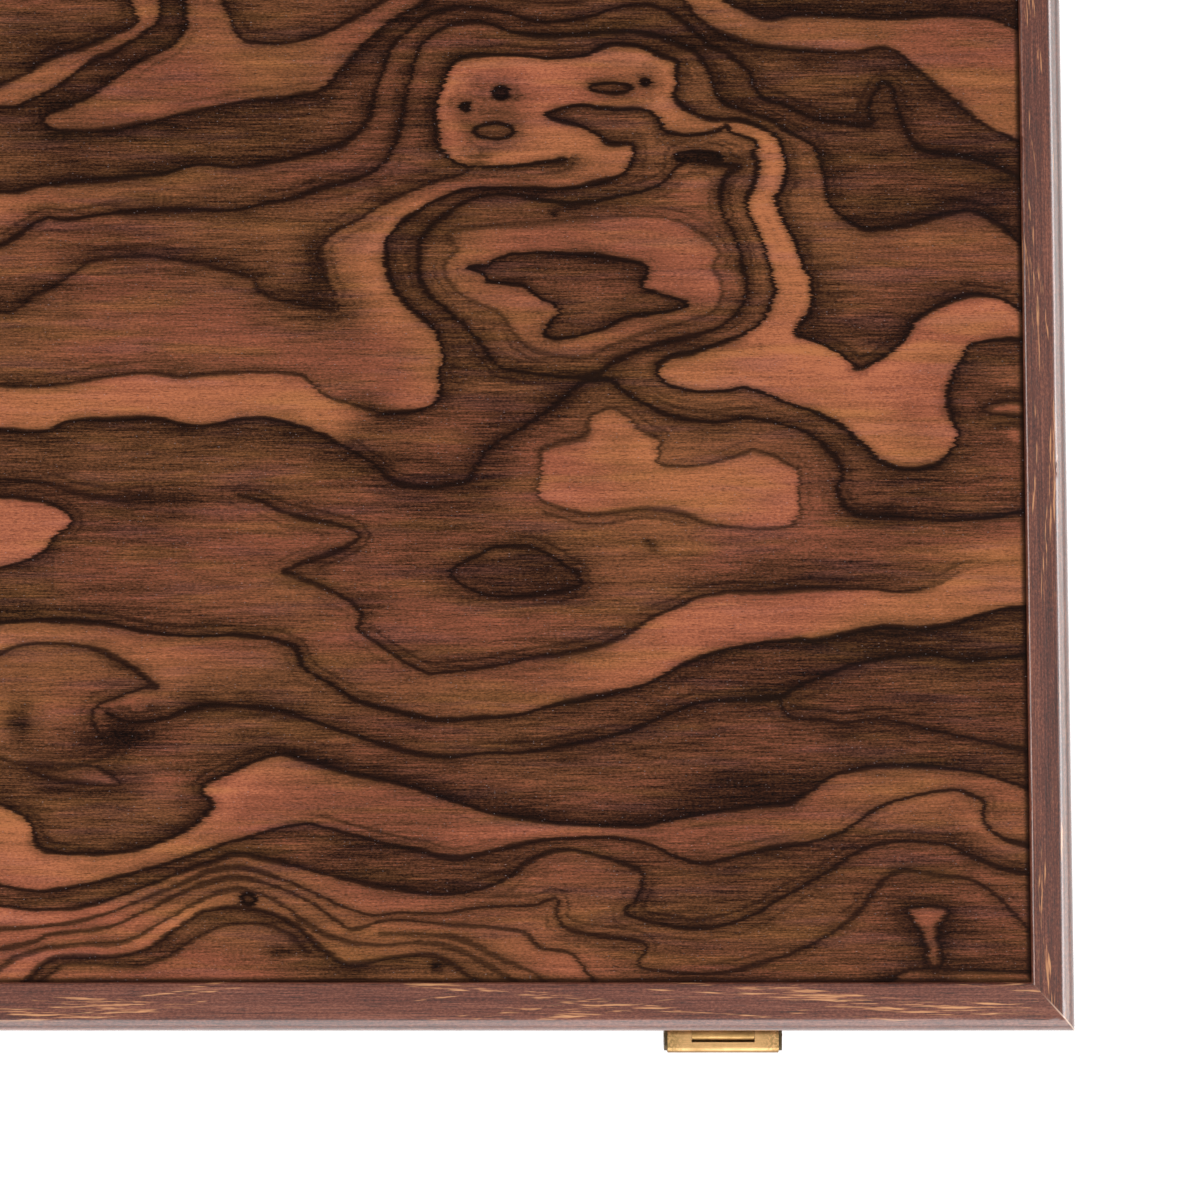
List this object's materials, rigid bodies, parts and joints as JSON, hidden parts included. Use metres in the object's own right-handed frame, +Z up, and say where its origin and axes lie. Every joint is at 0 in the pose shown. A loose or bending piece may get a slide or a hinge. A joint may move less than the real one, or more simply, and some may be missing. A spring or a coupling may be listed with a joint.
{
  "type": "mahjong set case",
  "caption": "Shallow hinged wooden case with figured veneer panels in mitred rails, brass clasps and a divided interior for tiles, sticks and dice.",
  "frame": {"origin": "middle of the case's underside, on the surface it stands on", "axes": "+X to the right along the case's length, seen from the front; -Y towards the front, where the clasps are; +Z up"},
  "size_m": [0.48, 0.2796, 0.05],
  "materials": {
    "rail_wood": "satin lacquer",
    "figured_veneer": "satin lacquer",
    "plywood": "unfinished",
    "spline_wood": "unfinished",
    "divider_wood": "satin lacquer",
    "suede_lining": "brushed suede",
    "hinge_brass": "satin",
    "clasp_brass": "polished, lacquered",
    "brass_fasteners": "satin"
  },
  "bodies": {
    "base": {"base_back_rail": "rail_wood", "base_corner_splines": "spline_wood", "base_front_rail": "rail_wood", "base_left_rail": "rail_wood", "base_lining": "suede_lining", "base_panel": "plywood", "base_right_rail": "rail_wood", "base_veneer": "figured_veneer", "centre_divider": "divider_wood", "clasp_base_nails": "brass_fasteners", "clasp_left_keeper": "clasp_brass", "clasp_right_keeper": "clasp_brass", "hinge_base_screws": "brass_fasteners", "hinge_left_base_leaf": "hinge_brass", "hinge_left_pin": "hinge_brass", "hinge_right_base_leaf": "hinge_brass", "hinge_right_pin": "hinge_brass", "left_short_divider": "divider_wood", "right_short_divider": "divider_wood", "row_divider_1": "divider_wood", "row_divider_2": "divider_wood", "row_divider_3": "divider_wood", "row_divider_4": "divider_wood", "row_divider_5": "divider_wood", "row_divider_6": "divider_wood"},
    "lid": {"clasp_left_lid_plate": "clasp_brass", "clasp_left_pin": "clasp_brass", "clasp_lid_nails": "brass_fasteners", "clasp_right_lid_plate": "clasp_brass", "clasp_right_pin": "clasp_brass", "hinge_left_lid_leaf": "hinge_brass", "hinge_lid_screws": "brass_fasteners", "hinge_right_lid_leaf": "hinge_brass", "lid_back_rail": "rail_wood", "lid_corner_splines": "spline_wood", "lid_front_rail": "rail_wood", "lid_left_rail": "rail_wood", "lid_lining": "suede_lining", "lid_panel": "plywood", "lid_right_rail": "rail_wood", "lid_veneer": "figured_veneer"},
    "clasp_left_flap": {"clasp_left_flap": "clasp_brass"},
    "clasp_right_flap": {"clasp_right_flap": "clasp_brass"}
  },
  "joints": [
    {"name": "lid_hinge", "type": "hinge", "parent": "base", "child": "lid", "pos_m": [0, 0.1362, 0.03015], "axis": [-1, 0, 0], "range_deg": [0, 182]},
    {"name": "left_flap_hinge", "type": "hinge", "parent": "lid", "child": "clasp_left_flap", "pos_m": [-0.156, -0.13635, 0.04015], "axis": [-1, 0, 0], "range_deg": [0, 90]},
    {"name": "right_flap_hinge", "type": "hinge", "parent": "lid", "child": "clasp_right_flap", "pos_m": [0.156, -0.13635, 0.04015], "axis": [-1, 0, 0], "range_deg": [0, 90]}
  ]
}
